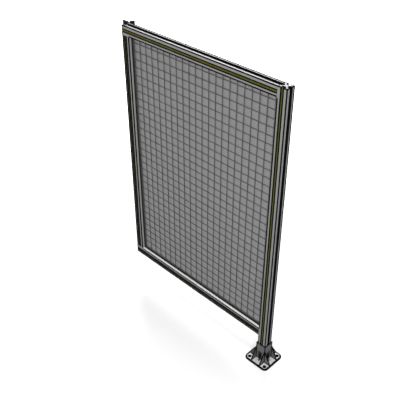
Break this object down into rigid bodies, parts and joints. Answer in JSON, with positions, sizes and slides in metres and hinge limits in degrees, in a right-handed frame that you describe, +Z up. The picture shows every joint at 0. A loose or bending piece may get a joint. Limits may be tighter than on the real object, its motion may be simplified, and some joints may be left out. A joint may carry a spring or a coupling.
{
  "type": "mesh fence panel",
  "caption": "Machine guard fence panel: slotted aluminium frame with wire grid on a grey backing sheet, coloured slot covers and one post on a ribbed cast floor foot.",
  "frame": {"origin": "centre of the foot's underside, on the floor under the post's axis", "axes": "+Z up along the post; +X along the bay, from the panel to the post; the front with the slot covers and the wires looks along -Y"},
  "size_m": [0.9435, 0.132, 1.4191],
  "materials": {
    "anodised_profile": "satin anodised",
    "slot_cover": "smooth extruded",
    "cast_foot": "fine cast",
    "backing": "matt",
    "dark_fitting": "black",
    "wire": "galvanised"
  },
  "bodies": {
    "root": {"post": "anodised_profile", "top_rail": "anodised_profile", "bottom_rail": "anodised_profile", "left_upright": "anodised_profile", "post_cover_strip": "slot_cover", "top_rail_cover_strip": "slot_cover", "bottom_rail_cover_strip": "slot_cover", "left_upright_cover_strip": "slot_cover", "floor_foot": "cast_foot", "backing_sheet": "backing", "end_tab": "dark_fitting", "rear_strap": "dark_fitting", "wire_mesh_1": "wire", "wire_mesh_2": "wire", "wire_mesh_3": "wire", "wire_mesh_4": "wire"}
  },
  "joints": []
}
